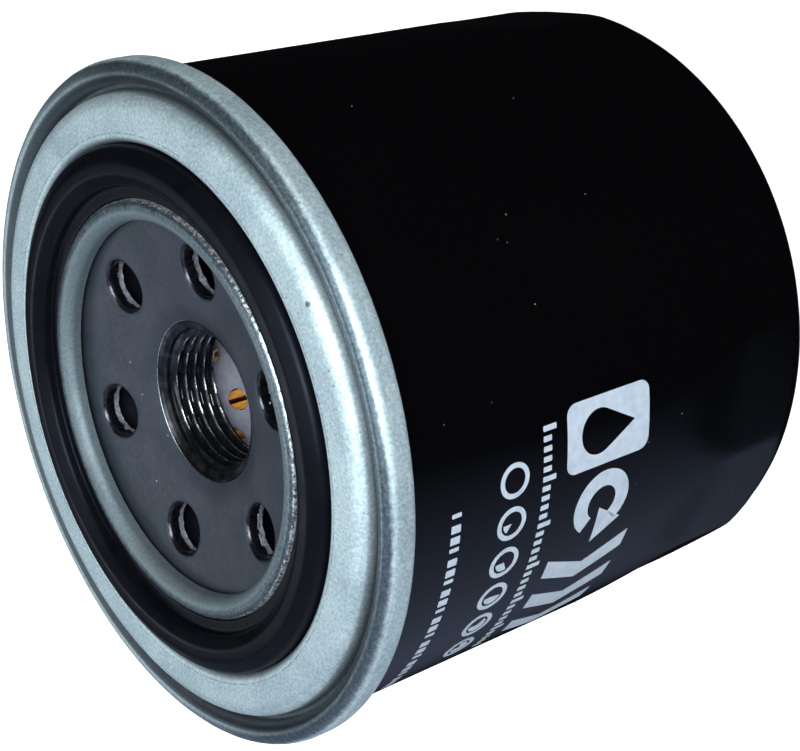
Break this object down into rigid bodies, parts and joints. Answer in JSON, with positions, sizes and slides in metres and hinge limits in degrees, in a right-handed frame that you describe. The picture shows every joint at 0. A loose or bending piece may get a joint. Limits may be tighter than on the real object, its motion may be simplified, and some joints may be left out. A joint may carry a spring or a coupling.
{
  "type": "oil filter",
  "caption": "Spin-on oil filter: black fluted can, zinc-plated cover seamed on, rubber gasket, threaded plate with inlet holes, pleated element and valves inside.",
  "frame": {"origin": "centre of the closed end, on the plane that the filter stands on", "axes": "+Z along the filter's axis towards the threaded end; one inlet hole lies on -Y"},
  "size_m": [0.093, 0.093, 0.0829],
  "materials": {
    "can_paint": "gloss black paint",
    "zinc_plating": "zinc plated, satin",
    "plate_steel": "phosphated, satin",
    "gasket_rubber": "satin",
    "valve_rubber": "matte",
    "sealant": "matte",
    "tinned_steel": "satin",
    "filter_paper": "matte",
    "adhesive": "matte",
    "spring_steel": "oiled"
  },
  "bodies": {
    "shell": {"can": "can_paint", "cover_plate": "zinc_plating", "gasket": "gasket_rubber", "seam_sealant": "sealant", "tapping_plate": "plate_steel", "upper_end_cap": "tinned_steel", "upper_potting": "adhesive", "center_tube": "tinned_steel", "filter_media": "filter_paper", "media_seam_clip": "tinned_steel", "lower_potting": "adhesive", "lower_end_cap": "tinned_steel", "bypass_valve_seat": "tinned_steel", "bypass_valve_cage": "tinned_steel", "spring_seat": "tinned_steel", "element_spring": "spring_steel"},
    "bypass_valve": {"bypass_valve_plunger": "tinned_steel", "bypass_valve_seal": "valve_rubber", "bypass_valve_spring": "spring_steel"},
    "drain_valve": {"anti_drain_valve": "valve_rubber"}
  },
  "joints": [
    {"name": "bypass_valve_lift", "type": "slide", "parent": "shell", "child": "bypass_valve", "axis": [0, 0, 1], "range_m": [0, 0.003], "stiffness_N_per_m": 3000, "springref_m": -0.006, "deforming": ["bypass_valve_spring"]},
    {"name": "drain_valve_open", "type": "slide", "parent": "shell", "child": "drain_valve", "axis": [0, 0, -1], "range_m": [0, 0.0015], "stiffness_N_per_m": 300, "springref_m": -0.001, "deforming": ["anti_drain_valve"]}
  ]
}
